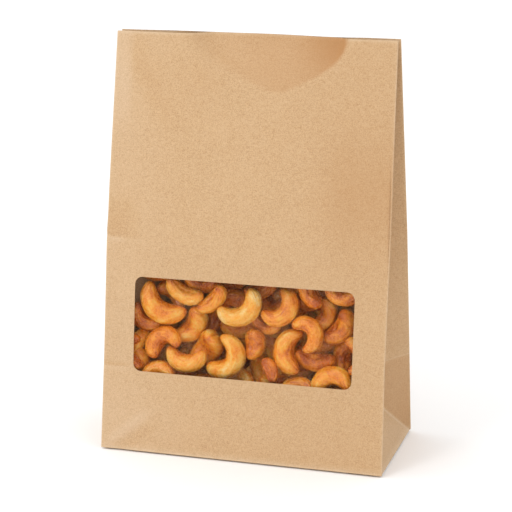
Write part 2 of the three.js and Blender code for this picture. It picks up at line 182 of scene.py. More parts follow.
# ------------------------------------------------------------------ paper bag
def build_bag(material):
    r = WIN["r"]
    rows_low = steps([0, 0.12, 0.4, 1.5, APEX_Z], 1.75)
    rows = np.concatenate([rows_low, steps(
        [APEX_Z, WIN["z0"], 47.3, 48.0, 48.7, WIN["z0"] + r, Z_KNOTS[1], WIN["z1"] - r, WIN["z1"],
         Z_KNOTS[2] - 0.7, Z_KNOTS[2], Z_KNOTS[2] + 0.7, 196, HEIGHT], 1.75)[1:]])
    R = len(rows)
    gt = 1 - rows_low / APEX_Z                       # gusset columns, so that its diagonals run through them
    fx = steps([-80, -79.3, -77.5, -66, WIN["x0"], WIN["x0"] + r, WIN["x1"] - r, WIN["x1"], 66, 77.5, 79.3, 80], 1.75)
    bx = np.array(steps([-80, -79.3, -66, -8.25, -7.95, 7.95, 8.25, 66, 79.3, 80], 2.6))[::-1]
    ARC = 0.35                                       # outside radius of the pressed folds

    def rings(w):
        """all the rows' points, w inside the outer face"""
        z = rows.copy()
        if w:
            z = np.maximum(z, FLOOR_T + 0.35)
            z[1:4] = FLOOR_T + 0.35 + np.array([0.02, 0.05, 0.1])
        Z = z[:, None]
        fy, by, hw, d = front_y(z), back_y(z), half_width(z), fold_in(z)

        def inset(t, y):
            Y = np.abs(y)[:, None]
            D = d[:, None]
            side = D * (1 - t * (Y - w) / Y) + w * np.hypot(D, Y) / Y
            tri = APEX_IN * Z / APEX_Z + w * math.hypot(APEX_IN, APEX_Z) / APEX_Z
            return np.minimum(side, tri)

        def edge(y):
            return hw[:, None] - inset(np.ones((1, 1)), y)

        def panel(cols, y, sign):
            e = edge(y) - (ARC if not w else 0.0)
            X = cols[None, :] * np.ones_like(Z)
            far = np.abs(X) > 66
            X = np.where(far, np.sign(X) * (66 + (np.abs(X) - 66) * (e - 66) / 14.0), X)
            P = np.zeros((R, len(cols), 3))
            P[:, :, 0] = X
            P[:, :, 2] = Z
            if sign < 0:
                P[:, :, 1] = (y + w)[:, None] + front_in(X, Z)
            else:
                b = back_out(X, Z)
                P[:, :, 1] = (y - w)[:, None] + b + (0.28 * (1 - smooth(7.95, 8.25, np.abs(X))) if not w else 0)
                P[:, :, 1] -= 0.22 * bell(Z, 48, 1.1)
            return P

        def arc(y, sign, side, order):
            """the pressed fold between a panel and its gusset"""
            out = []
            for k in order:
                ang = math.pi * k / 4
                P = np.zeros((R, 1, 3))
                if w:
                    P[:, 0, 0] = edge(y)[:, 0] - 0.002 * k
                    P[:, 0, 1] = (y - sign * w) - sign * 0.0005 * k
                else:
                    P[:, 0, 0] = hw - ARC + ARC * math.sin(ang)
                    P[:, 0, 1] = y - sign * ARC * (1 - math.cos(ang))
                    if sign < 0:
                        P[:, 0, 1] += front_in(side * hw, z) * 1.0
                P[:, 0, 0] *= side
                P[:, 0, 2] = z
                out.append(P)
            return np.concatenate(out, 1)

        def gusset(side):
            """front edge to back edge of one side, without the panel corners"""
            cols = []
            for y, ts, sign in ((fy, gt, -1), (by, gt[::-1][1:], 1)):
                t = ts[None, :]
                I = inset(t, y)
                lim = np.abs(y)[:, None] - (2 * ARC if not w else w)
                P = np.zeros((R, t.shape[1], 3))
                I0 = I if w else np.maximum(I, ARC * (np.ones_like(I)) * 1.0)
                P[:, :, 0] = hw[:, None] - I0 + 0.0
                P[:, :, 1] = sign * t * lim
                P[:, :, 2] = Z
                # the crease at the fold-up height, and a slack hollow between the creases
                P[:, :, 0] -= (0.25 * bell(Z, 48.0, 1.2) - 0.10 * bell(Z, 50.8, 2.0)) * smooth(0.02, 0.3, 1 - t)
                soft = 0.9 * smooth(0.05, 0.5, 1 - t) * smooth(0.0, 0.35, t)
                P[:, :, 0] -= soft * (bell(Z, 92, 26) - (0.5 if sign > 0 else 0.0) * bell(Z, 150, 24))
                P[:, :, 0] *= side
                # where front and back have moved, the gusset is pressed between them
                yf, yb = fy[:, None] + 0.35, by[:, None] - 0.35
                part = (P[:, :, 1] - yf) / (yb - yf)
                nf, nb = yf + front_in(P[:, :, 0], Z), yb + back_out(P[:, :, 0], Z)
                P[:, :, 1] = nf + part * (nb - nf)
                cols.append(P)
            return np.concatenate(cols, 1)

        parts, tags = [], []
        F = panel(fx, fy, -1)
        parts.append(F); tags += ["F"] * F.shape[1]
        A = arc(fy, -1, 1, [1, 2, 3]); parts.append(A); tags += ["A"] * 3
        G = gusset(1); parts.append(G); tags += ["G"] * G.shape[1]
        A = arc(by, 1, 1, [3, 2, 1]); parts.append(A); tags += ["A"] * 3
        B = panel(bx, by, 1); parts.append(B); tags += ["B"] * B.shape[1]
        A = arc(by, 1, -1, [1, 2, 3]); parts.append(A); tags += ["A"] * 3
        G = gusset(-1)[:, ::-1]; parts.append(G); tags += ["H"] * G.shape[1]
        A = arc(fy, -1, -1, [3, 2, 1]); parts.append(A); tags += ["A"] * 3
        P = np.concatenate(parts, 1)
        if not w:
            # the bottom edge is a pressed fold too: it tucks under, and stands clear of what it rests on
            for k, (height, tuck) in enumerate(((0.92, 0.75), (0.98, 0.34), (1.14, 0.08), (1.40, 0.0))):
                P[k, :, 0] *= 1 - tuck / 80
                P[k, :, 1] *= 1 - tuck / 38
                P[k, :, 2] = height
        return P, tags

    outer, tags = rings(0.0)
    inner, _ = rings(PAPER)
    C = outer.shape[1]
    verts = [outer.reshape(-1, 3), inner.reshape(-1, 3)]
    N = R * C
    faces = []
    x0c, x1c = int(np.argmin(abs(fx - WIN["x0"]))), int(np.argmin(abs(fx - WIN["x1"])))
    z0r, z1r = int(np.argmin(abs(rows - WIN["z0"]))), int(np.argmin(abs(rows - WIN["z1"])))
    first = {t: tags.index(t) for t in "FGBH"}
    count = {t: tags.count(t) for t in "FGBH"}
    napex = len(rows_low) - 1
    vid = lambda j, i, inn=0: inn * N + j * C + i % C

    def quad(a, b, c, d, flip):
        faces.append((a, d, c, b) if flip else (a, b, c, d))

    for j in range(R - 1):
        for i in range(C):
            if x0c <= i < x1c and z0r <= j < z1r:
                continue
            for inn in (0, 1):
                a, b, c, d = vid(j, i, inn), vid(j, i + 1, inn), vid(j + 1, i + 1, inn), vid(j + 1, i, inn)
                tri = None
                if j < napex:
                    for g in "GH":
                        k = i - first[g]
                        if 0 <= k < count[g] - 1:
                            # k counts from the first edge: towards the fold, then away from it
                            tri = "rise" if k < napex else "fall"
                if tri == "rise":
                    ts = [(a, b, c), (a, c, d)]
                elif tri == "fall":
                    ts = [(a, b, d), (b, c, d)]
                else:
                    quad(a, b, c, d, inn)
                    continue
                for t in ts:
                    faces.append(t[::-1] if inn else t)
    # mouth rim
    for i in range(C):
        quad(vid(R - 1, i), vid(R - 1, i + 1), vid(R - 1, i + 1, 1), vid(R - 1, i, 1), False)

    # the window's round corners and its cut edge
    extra, base = [], 2 * N
    loops = [[], []]
    corners = [  # corner row, corner column, directions of the two sides from the tangent to the corner
        (z0r, x0c, "v", +1, +1), (z0r, x1c, "h", +1, -1), (z1r, x1c, "v", -1, -1), (z1r, x0c, "h", -1, +1)]
    nr = {+1: int(np.argmin(abs(rows - (WIN["z0"] + r)))), -1: int(np.argmin(abs(rows - (WIN["z1"] - r))))}
    nc = {+1: int(np.argmin(abs(fx - (WIN["x0"] + r)))), -1: int(np.argmin(abs(fx - (WIN["x1"] - r))))}
    for cj, ci, start, sj, si in corners:
        vert = [(j, ci) for j in range(nr[sj], cj, -sj)]          # tangent on the upright side, to the corner
        hori = [(cj, i) for i in range(ci + si, nc[si] + si, si)]  # corner, to the tangent on the level side
        path = vert + [(cj, ci)] + hori
        if start == "h":
            path = path[::-1]
        cx = fx[ci] + si * r
        cz = rows[cj] + sj * r
        for inn in (0, 1):
            src = (outer, inner)[inn]
            ids = []
            m = len(path)
            for k, (j, i) in enumerate(path):
                if k in (0, m - 1):
                    ids.append(vid(j, i, inn))
                    continue
                dx, dz = src[j, i, 0] - cx, src[j, i, 2] - cz
                L = math.hypot(dx, dz)
                x, z = cx + dx * r / L, cz + dz * r / L
                y = front_y(z) + (PAPER if inn else 0) + float(front_in(x, z))
                extra.append((x, y, z))
                ids.append(base + len(extra) - 1)
            loops[inn] += ids if inn == 0 else ids
            for k in range(m - 1):
                a, b = vid(*path[k], inn), vid(*path[k + 1], inn)
                c, d = ids[k + 1], ids[k]
                f = [a, b, c, d]
                f = [v for q, v in enumerate(f) if v not in f[:q]]
                if len(f) >= 3:
                    faces.append(tuple(f) if inn else tuple(f[::-1]))
        # straight stretch to the next corner
        j1, i1 = path[-1]
        for inn in (0, 1):
            if (cj, ci) == (z0r, x0c):
                loops[inn] += [vid(z0r, i, inn) for i in range(i1 + 1, nc[-1])]
            elif (cj, ci) == (z0r, x1c):
                loops[inn] += [vid(j, x1c, inn) for j in range(j1 + 1, nr[-1])]
            elif (cj, ci) == (z1r, x1c):
                loops[inn] += [vid(z1r, i, inn) for i in range(i1 - 1, nc[+1], -1)]
            else:
                loops[inn] += [vid(j, x0c, inn) for j in range(j1 - 1, nr[+1], -1)]
    lo, li = loops
    assert len(lo) == len(li)
    for k in range(len(lo)):
        a, b = lo[k], lo[(k + 1) % len(lo)]
        c, d = li[(k + 1) % len(lo)], li[k]
        faces.append((a, b, c, d))

    # the underside: from the edge in to the ridge where the flaps meet, a little above the floor
    def cap(inn, level):
        src = (outer, inner)[inn]
        ring = src[0]
        prev = [vid(0, i, inn) for i in range(C)]
        for v, up in (((0.02, 0.90), (0.07, 0.86), (0.35, 0.58), (0.7, 0.58), (1.0, 0.58)) if not inn else ((0.35, 0), (0.7, 0), (1.0, 0))):
            cur = []
            for i in range(C):
                x, y, z = ring[i]
                qx, qy = max(-42.0, min(42.0, x)), 0.0
                extra.append((x + (qx - x) * v, y + (qy - y) * v, level + up))
                cur.append(base + len(extra) - 1)
            for i in range(C):
                i2 = (i + 1) % C
                quad(prev[i2], prev[i], cur[i], cur[i2], inn)
            prev = cur

    cap(0, 0.0)
    cap(1, FLOOR_T + 0.35)
    V = np.concatenate(verts + [np.array(extra)])

    # wear and painted highlight, 1 at most, on the pressed folds and cut edges: paler paper where it is rubbed and
    # where the rounded folds catch the light
    tagarr = np.array(tags)
    ww = np.zeros((R, C))
    ww[:, tagarr == "A"] = 1.0
    for g in "GH":
        i0, n = first[g], count[g]
        ww[:, i0] = ww[:, i0 + n - 1] = 0.6
        ww[napex:, i0 + napex] = 0.7                 # centre fold
        for j in range(napex + 1):                   # the diagonals of the folded bottom
            ww[j, i0 + j] = max(ww[j, i0 + j], 0.55)
            ww[j, i0 + n - 1 - j] = max(ww[j, i0 + n - 1 - j], 0.55)
    for g in "FB":                                    # folded edges are paler a little way in: rubbed, with a painted highlight
        i0, n = first[g], count[g]
        ww[:, [i0, i0 + n - 1]] = 0.50
        ww[:, [i0 + 1, i0 + n - 2]] = 0.14
    crease = int(np.argmin(abs(rows - 48.0)))
    for g in "GH":
        ww[crease, first[g]:first[g] + count[g]] = 0.55
    ww[0:4, :] = np.maximum(ww[0:4, :], np.array([0.2, 0.7, 0.95, 0.8])[:, None])
    ww[4, :] = np.maximum(ww[4, :], 0.25)
    ww[R - 1, :] = np.maximum(ww[R - 1, :], 0.8)
    wear_and_highlight = np.concatenate([ww.ravel(), np.full(N, 0.0), np.full(len(extra), 0.0)])
    onfront = (tagarr == "F")[None, :] | (tagarr == "A")[None, :] & (outer[:, :, 1] < 0)
    # tone: painted shade and painted highlight on the front and the gussets, 0 elsewhere
    tone = np.where(onfront, painted_shade_of(outer[:, :, 0], outer[:, :, 2]), 0.0)
    on_gusset = ((tagarr == "G") | (tagarr == "H"))[None, :]
    low = 1 - smooth(46.5, 48.5, outer[:, :, 2])
    tri = np.abs(outer[:, :, 1]) > (1 - outer[:, :, 2] / APEX_Z) * 38.0
    GZ, GY = outer[:, :, 2], np.abs(outer[:, :, 1])
    # painted shade on the gussets, which face away from the light: darker all over, more so below the fold-up crease
    # and at the lower front and back edges, paler just above the crease, about the middle and towards the top
    shade = -0.050 - 0.075 * low + 0.035 * bell(GZ, 51, 3.5) - 0.05 * smooth(22, 37, GY) * bell(GZ, 14, 22)
    shade = shade + 0.03 * bell(GZ, 84, 22) + 0.05 * smooth(110, 180, GZ)
    # the folded bottom triangle is a little paler near the floor, with a painted highlight beside a painted shade line
    # along a wrinkle
    wrinkle_light_and_shade = 0.05 * bell(GY * 0.66 + GZ * 0.75, 24.6, 1.1) * smooth(2, 6, GY) - 0.04 * bell(GY * 0.66 + GZ * 0.75, 27.2, 1.4)
    tone = np.where(on_gusset, np.where((GZ < APEX_Z) & ~tri, 0.008 + 0.02 * bell(GZ, 6, 9) + wrinkle_light_and_shade, shade), tone)
    tone = np.concatenate([tone.ravel(), np.zeros(N), np.zeros(len(extra))])
    used = np.zeros(len(V), bool)
    for f in faces:
        for v in f:
            used[v] = True
    new = np.cumsum(used) - 1
    faces = [tuple(new[v] for v in f) for f in faces]
    ob = make_object("bag_paper", V[used], faces, None, None, {"wear_and_highlight": wear_and_highlight[used], "tone": tone[used]})
    import bmesh
    bm = bmesh.new()
    bm.from_mesh(ob.data)
    bmesh.ops.remove_doubles(bm, verts=bm.verts, dist=2e-7)
    bmesh.ops.dissolve_degenerate(bm, edges=bm.edges, dist=1e-7)
    bm.to_mesh(ob.data)
    open_edges = sum(1 for e in bm.edges if len(e.link_faces) != 2)
    print("bag: faces", len(bm.faces), "edges not shared by two faces", open_edges)
    bm.free()
    ob.data.shade_smooth()
    ob.data.set_sharp_from_angle(angle=math.radians(50))
    ob.data.materials.append(material)
    return ob


def prism(name, outline, z0, z1, material):
    n = len(outline)
    verts = [(x, y, z0) for x, y in outline] + [(x, y, z1) for x, y in outline]
    faces = [tuple(range(n))[::-1], tuple(range(n, 2 * n))]
    faces += [(k, (k + 1) % n, n + (k + 1) % n, n + k) for k in range(n)]
    return make_object(name, verts, faces, material, 30)


def join(objects):
    """one object of several meshes"""
    head = objects[0]
    with bpy.context.temp_override(active_object=head, selected_editable_objects=objects, object=head, selected_objects=objects):
        bpy.ops.object.join()
    return head


# ------------------------------------------------------------------ window film
def build_film(material):
    lap = 6.0
    xs = steps([WIN["x0"] - lap, WIN["x1"] + lap], 2.2)
    zs = steps([WIN["z0"] - lap, WIN["z1"] + lap], 2.2)
    X, Z = np.meshgrid(xs, zs)
    wav = 0.10 * value_noise(X, Z, 3, 26.0) * (1 - smooth(52, 62, np.abs(X))) * (1 - smooth(20, 27, np.abs(Z - 72)))
    V, F = [], []
    n, m = len(zs), len(xs)
    for off in (0.36, 0.46):
        Y = front_y(Z) + off + 0.14 + wav
        V.append(np.stack([X, Y, Z], -1).reshape(-1, 3))
    V = np.concatenate(V)
    K = n * m
    for j in range(n - 1):
        for i in range(m - 1):
            a, b, c, d = j * m + i, j * m + i + 1, (j + 1) * m + i + 1, (j + 1) * m + i
            F += [(a, b, c, d), (K + d, K + c, K + b, K + a)]
    border = [i for i in range(m)] + [j * m + m - 1 for j in range(1, n)] + \
        [(n - 1) * m + i for i in range(m - 2, -1, -1)] + [j * m for j in range(n - 2, 0, -1)]
    for k, a in enumerate(border):
        b = border[(k + 1) % len(border)]
        F.append((b, a, K + a, K + b))
    return make_object("window_pane", V, F, material, 30)


# ------------------------------------------------------------------ cashews
# name, centre x y z, turn x y z w, arc radius, bend, half thickness across and along the arc's axis, taper, lightness
NUTS = [
    ("cashew_01", -49.85, -20.95, 80.34, 0.6205, 0.2291, -0.2044, 0.7216, 11.7, 60, 5.64, 5.85, 0.08, 0.55),
    ("cashew_02", -45.85, -9.74, 84.61, 0.3691, -0.2288, 0.8993, 0.0522, 7.03, 66, 4.31, 4.67, 0.05, 0.45),
    ("cashew_03", -36.51, -18.15, 88.36, 0.8796, 0.0679, -0.1914, 0.4302, 9.5, 60, 4.4, 4.8, 0.05, 0.82),
    ("cashew_04", -27.96, -12.45, 93.21, 0.9143, 0.0117, -0.0504, 0.4017, 7.37, 66, 4.31, 4.67, 0.05, 0.22),
    ("cashew_05", -18.94, -20.52, 86.26, 0.8633, -0.0749, 0.4049, 0.2918, 8.74, 54, 3.93, 4.31, 0.06, 0.6),
    ("cashew_06", -32.93, -12.62, 68.45, 0.8331, -0.1429, 0.4572, 0.2766, 8.26, 58, 5.19, 5.84, 0.06, 0.7),
    ("cashew_07", -9.32, -8.61, 83.65, 0.1506, -0.1187, 0.9799, 0.0542, 6.86, 66, 4.31, 4.67, 0.05, 0.35),
    ("cashew_08", -2.39, -21.45, 81.61, 0.6709, -0.1613, 0.2482, 0.6799, 9.77, 70, 5.31, 5.61, 0.12, 0.95),
    ("cashew_09", -59.99, -17.72, 71.59, 0.7796, 0.2885, -0.1838, 0.5246, 7.38, 70, 4.38, 4.75, 0.05, 0.25),
    ("cashew_10", -47.52, -23.66, 62.12, -0.2228, -0.4685, 0.8464, -0.1206, 7.2, 80, 4.68, 5.1, 0.1, 0.3),
    ("cashew_11", -33.61, -25.1, 52.06, 0.714, -0.0074, -0.0268, 0.6996, 9.57, 60, 4.73, 5.35, 0.05, 0.75),
    ("cashew_12", -21.24, -12.77, 56.09, 0.8826, -0.1316, 0.4422, 0.0902, 7.5, 62, 5.54, 6.48, 0.05, 0.62),
    ("cashew_13", -9.48, -24.07, 54.76, 0.5828, -0.3974, 0.3553, 0.6133, 9.33, 84, 5.14, 5.67, -0.14, 0.85),
    ("cashew_14", -21.76, -3.91, 72.3, -0.4826, -0.2312, 0.843, -0.0551, 8.4, 66, 4.6, 5, 0.05, 0.42),
    ("cashew_15", -48.97, -25.8, 44.14, -0.024, -0.441, 0.8968, -0.0241, 6.86, 72, 4.22, 4.49, 0.05, 0.4),
    ("cashew_16", -65.35, -24.52, 54.19, 0.6416, 0.2639, -0.6256, 0.3569, 7.37, 72, 4.31, 4.67, 0.05, 0.3),
    ("cashew_17", -37.73, -6.48, 53.41, 0.5123, -0.1181, 0.8199, 0.2265, 8.4, 66, 4.8, 5.2, 0.05, 0.5),
    ("cashew_18", -7.89, -4.93, 66.61, 0.9246, -0.0198, 0.0795, 0.372, 8.4, 66, 4.9, 5.2, 0.05, 0.6),
    ("cashew_19", -25.71, -17.97, 35.98, -0.006, -0.2495, 0.967, -0.0521, 8.4, 66, 4.8, 5, 0.05, 0.32),
    ("cashew_20", -5.03, -17.26, 41.11, 0.0664, -0.3487, 0.9276, 0.1163, 7.2, 66, 4.31, 4.67, 0.05, 0.7),
    ("cashew_21", 5.74, -9.38, 92.42, 0.8943, -0.0137, 0.3168, 0.3157, 7.2, 66, 4.67, 5.03, 0.05, 0.28),
    ("cashew_22", 20.16, -20.26, 83.66, 0.5266, -0.2517, 0.3742, 0.7206, 7.77, 82, 4.94, 5.34, 0.06, 0.45),
    ("cashew_23", 9.17, -13.16, 72.05, 0.8524, 0.0222, -0.1049, 0.5117, 7.72, 62, 3.5, 3.95, 0.05, 0.32),
    ("cashew_24", 33.72, -17.67, 94.63, 0.8329, 0.1364, -0.4855, 0.228, 7.37, 66, 4.49, 4.85, 0.1, 0.25),
    ("cashew_25", 54.01, -17.59, 94.49, 0.8323, -0.0253, 0.0507, 0.5514, 7.81, 66, 4.71, 5.07, 0.05, 0.22),
    ("cashew_26", 36.09, -22.84, 72.61, 0.3083, -0.4974, 0.7028, 0.4045, 6.9, 86, 4.42, 4.8, 0.1, 0.35),
    ("cashew_27", 51.84, -14.52, 74.37, 0.8162, -0.1843, 0.4324, 0.3359, 7.72, 62, 5.39, 5.75, 0.05, 0.38),
    ("cashew_28", 41.38, -10.17, 79.6, 0.7283, -0.1784, 0.549, 0.3693, 7.54, 66, 4.49, 4.85, 0.05, 0.5),
    ("cashew_29", 34.49, -2.42, 85.8, 0.9202, 0.0451, 0.1889, 0.34, 8.4, 66, 4.8, 5.2, 0.05, 0.2),
    ("cashew_30", 3.96, -18.57, 62.17, 0.714, -0.0157, 0.6915, 0.109, 5.55, 52, 4.84, 5.37, 0.1, 0.48),
    ("cashew_31", 11.27, -5.29, 60.43, 0.6898, 0.1284, -0.6001, 0.3841, 8.8, 64, 4.8, 5.2, 0.05, 0.65),
    ("cashew_32", 23.23, -21.6, 61.41, -0.4391, -0.4142, 0.5928, -0.5331, 9.69, 64, 5.35, 5.66, 0.1, 0.55),
    ("cashew_33", 37.52, -15.84, 54.89, 0.9173, 0.0115, -0.0569, 0.394, 9.12, 58, 4.83, 5.13, 0.08, 0.35),
    ("cashew_34", 49.41, -25.67, 48.43, -0.071, -0.527, 0.846, -0.0384, 8.06, 70, 5.21, 5.39, 0.08, 0.45),
    ("cashew_35", 28.54, -8.12, 49.62, 0.6889, -0.1132, 0.6319, 0.3366, 8, 66, 4.4, 4.8, 0.05, 0.55),
    ("cashew_36", 4.93, -11.32, 45.09, 0.772, 0.1042, -0.5657, 0.2704, 7.61, 62, 4.7, 4.88, 0.05, 0.78),
    ("cashew_37", 14.82, -25.92, 50.95, 0.5277, -0.0388, 0.8397, 0.1217, 6.33, 40, 3.38, 3.7, 0.1, 0.12),
    ("cashew_38", 29.29, -23.05, 41.24, -0.0701, -0.4052, 0.9106, -0.0425, 7.2, 66, 4.49, 4.67, 0.05, 0.5),
    ("cashew_39", 62.87, -21.61, 61.46, 0.4431, -0.2573, 0.7456, 0.4261, 7.37, 72, 4.49, 4.67, 0.05, 0.45),
    ("cashew_40", 51.99, -10.79, 55.6, -0.6029, -0.1601, 0.6991, -0.3494, 8.6, 66, 4.8, 5.2, 0.05, 0.35),
    ("cashew_41", 41.76, -5.18, 63.8, 0.8685, 0.0641, 0.337, 0.3577, 8.4, 66, 4.8, 5.2, 0.05, 0.55),
    ("cashew_42", 9.91, -3.14, 81.32, 0.8575, -0.1391, -0.1806, 0.4612, 8.4, 66, 4.8, 5.2, 0.05, 0.22),
    ("cashew_43", -41.19, -8.34, 37.66, 0.935, 0.0489, -0.0028, 0.3514, 8.4, 66, 4.8, 5.2, 0.05, 0.4),
    ("cashew_44", 53.52, -10.26, 41.77, 0.6286, 0.2269, 0.4829, 0.5658, 8.4, 66, 4.8, 5.2, 0.05, 0.3),
    ("cashew_45", -51.62, -12.11, 98.21, 0.9698, 0.0396, 0.0787, 0.2275, 8.4, 66, 4.8, 5.2, 0.05, 0.28),
    ("cashew_46", -16.25, -1.61, 92.38, 0.9404, -0.0321, 0.0144, 0.3383, 8.4, 66, 4.8, 5.2, 0.05, 0.25),
    ("cashew_47", 13.91, -9.32, 35.7, 0.8943, -0.2965, 0.1649, 0.2917, 8.4, 66, 4.8, 5.2, 0.05, 0.35),
]


def nut_geometry(R, bend_deg, a, b, taper, seed, ns, nt, detail=True, split=0.0):
    """vertices, faces and per-vertex facts of one nut, about its own middle"""
    bend = math.radians(bend_deg)
    reach = bend + 0.85 * a / R
    mid = -((-R - a) + (-R * math.cos(bend) + 0.8 * a)) / 2
    u = np.linspace(-1, 1, ns + 1)[1:-1]
    s = np.sin(u * math.pi / 2) * 0.65 + u * 0.35
    t = np.linspace(0, 2 * math.pi, nt, endpoint=False)
    S, T = np.meshgrid(s, t, indexing="ij")
    ph = S * reach

    def girth(r):
        return r * np.sqrt(np.maximum(0, 1 - np.abs(S) ** 3)) * (1 + taper * S) * (1 + 0.05 * np.cos(math.pi * S)) / 1.05

    ct, st = np.cos(T), np.sin(T)
    ga, gb = girth(a), girth(b)
    k = np.ones_like(S)
    if detail:
        # the seam between the two halves, on the back of the curve and deeper on its inside
        side = np.abs(np.arctan2(np.sin(T), np.cos(T)))
        inner = np.abs(np.arctan2(np.sin(T - math.pi), np.cos(T - math.pi)))
        fade = 1 - smooth(0.75, 1.0, np.abs(S))
        k = k - (0.060 * (0.55 + 0.45 * math.sin(seed * 1.7)) + split) * bell(side, 0, 0.13 + split * 0.6) * fade
        k = k - 0.12 * bell(inner, 0, 0.22) * fade
        k = k + 0.025 * bell(side, 0.42, 0.22) * fade
        # a fuller belly where the curve is tightest on some, a pinched neck on others
        k = k + 0.03 * math.sin(seed * 2.3) * bell(S, 0.15 * math.sin(seed), 0.35)
    rx, rz = ga * ct * k, gb * st * k
    X = R * np.sin(ph) + rx * np.sin(ph)
    Y = -R * np.cos(ph) + mid - rx * np.cos(ph)
    Zz = rz
    P = np.stack([X, Y, Zz], -1)
    outdir = np.stack([np.sin(ph) * ct, -np.cos(ph) * ct, st], -1)
    lump = np.zeros_like(S)
    wr = np.zeros_like(S)
    if detail:
        flatP, fl, fw_ = P.reshape(-1, 3), lump.ravel(), wr.ravel()
        fs, ft = S.ravel(), T.ravel()
        for i in range(len(flatP)):
            x, y, z = flatP[i]
            fl[i] = noise.noise(Vector((x / 5.5 + seed * 3.1, y / 5.5, z / 5.5 + seed)))
            fw_[i] = 0.6 * noise.noise(Vector((fs[i] * 1.5 + seed * 5.7, 3.2 * math.cos(ft[i]), 3.2 * math.sin(ft[i]) + seed * 2.9))) + 0.5 * noise.noise(Vector((fs[i] * 3.2 + seed, 7.5 * math.cos(ft[i]), 7.5 * math.sin(ft[i]) + seed * 1.9)))
        lump, wr = fl.reshape(S.shape), fw_.reshape(S.shape)
        body = np.sqrt(np.maximum(0, 1 - np.abs(S) ** 3))
        P = P + outdir * ((0.42 * lump + 0.34 * wr) * (0.35 + 0.65 * body))[..., None]
    verts = list(P.reshape(-1, 3))
    c0 = [R * math.sin(-reach), -R * math.cos(reach) + mid, 0]
    c1 = [R * math.sin(reach), -R * math.cos(reach) + mid, 0]
    # the ends are rounded off by the last rings; the tips close them
    verts += [np.array(c0), np.array(c1)]
    n = S.shape[0]
    faces = []
    for j in range(n - 1):
        for i in range(nt):
            i2 = (i + 1) % nt
            faces.append((j * nt + i, (j + 1) * nt + i, (j + 1) * nt + i2, j * nt + i2))
    e = (n - 1) * nt
    for i in range(nt):
        i2 = (i + 1) % nt
        faces.append((n * nt, i, i2))
        faces.append((n * nt + 1, e + i2, e + i))
    inner_c = np.cos(T)
    facts = dict(
        S=np.concatenate([S.ravel(), [-1, 1]]), back=np.concatenate([inner_c.ravel(), [0, 0]]),
        along=np.concatenate([(S * reach * R / 9).ravel(), [-reach * R / 9, reach * R / 9]]) + seed * 3.7,
        cosine=np.concatenate([ct.ravel(), [0, 0]]), sine=np.concatenate([st.ravel(), [0, 0]]),
        lump=np.concatenate([lump.ravel(), [0, 0]]), wr=np.concatenate([wr.ravel(), [0, 0]]),
        seam=np.concatenate([(bell(np.abs(np.arctan2(np.sin(T), np.cos(T))), 0, 0.10) * (1 - smooth(0.8, 1, np.abs(S)))).ravel(), [0, 0]]))
    return np.array(verts), faces, facts


def roast_of(facts, tone, seed):
    """0 dark brown to 1 pale cream, at each vertex"""
    S, back, lump, wr = (facts[k] for k in ("S", "back", "lump", "wr"))
    v = 0.20 + 0.56 * tone + 0.26 * lump + 0.16 * wr
    v = v - 0.24 * smooth(0.80, 1.0, np.abs(S)) - 0.16 * bell(back, -1, 0.4)
    v = v + 0.04 * back - 0.13 * facts["seam"] * (0.5 + 0.5 * math.sin(seed * 1.3 + 1))
    return np.clip(v, 0, 1)


def build_nut(row, material, index):
    name, x, y, z, qx, qy, qz, qw, R, bend, a, b, taper, tone = row
    wide, deep, shift, paler = {
        "cashew_12": (1.12, 1.26, (-2.6, -2.8, 1.3), 0.10), "cashew_06": (1.12, 1.17, (0.5, -2.6, 0.9), 0.12),
        "cashew_13": (1.08, 1.12, (0, 0, 0), -0.06), "cashew_10": (1.12, 1.20, (0, 0, 0), 0.04),
        "cashew_16": (1.10, 1.20, (0, 0, 0), 0.0), "cashew_31": (1.08, 1.12, (0, 0, 0), 0.0)}.get(name, (1.05, 1.07, (0, 0, 0), 0.0))
    verts, faces, facts = nut_geometry(R, bend, a * wide, b * deep, taper, index * 1.37 + 0.5, 56, 72,
                                        split={"cashew_12": 0.15, "cashew_15": 0.04, "cashew_20": 0.06}.get(name, 0.0))
    M = np.array(Quaternion((qw, qx, qy, qz)).normalized().to_matrix())
    V = verts @ M.T + np.array([x, y, z]) + np.array(shift)
    ob = make_object(name.replace("cashew", "nut"), V, faces, material, None,
                     {"roast": roast_of(facts, tone + paler, index), "along": facts["along"], "cosine": facts["cosine"], "sine": facts["sine"]})
    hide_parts(name)
    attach(ob, "root")
    return ob


def in_bag(v):
    """whether points lie in the paper's hollow, with a little room"""
    x, y, z = v.T
    ref = np.where(y < 0, -front_y(z), back_y(z))
    d = fold_in(z) * (1 - np.minimum(1, np.abs(y) / ref))
    tri = APEX_IN * z / APEX_Z
    side = half_width(z) - np.minimum(d, tri) - np.abs(x)
    room = np.minimum(np.minimum(y - front_y(z), back_y(z) - y), np.minimum(side, z - FLOOR_T))
    return bool(room.min() > 1.1)


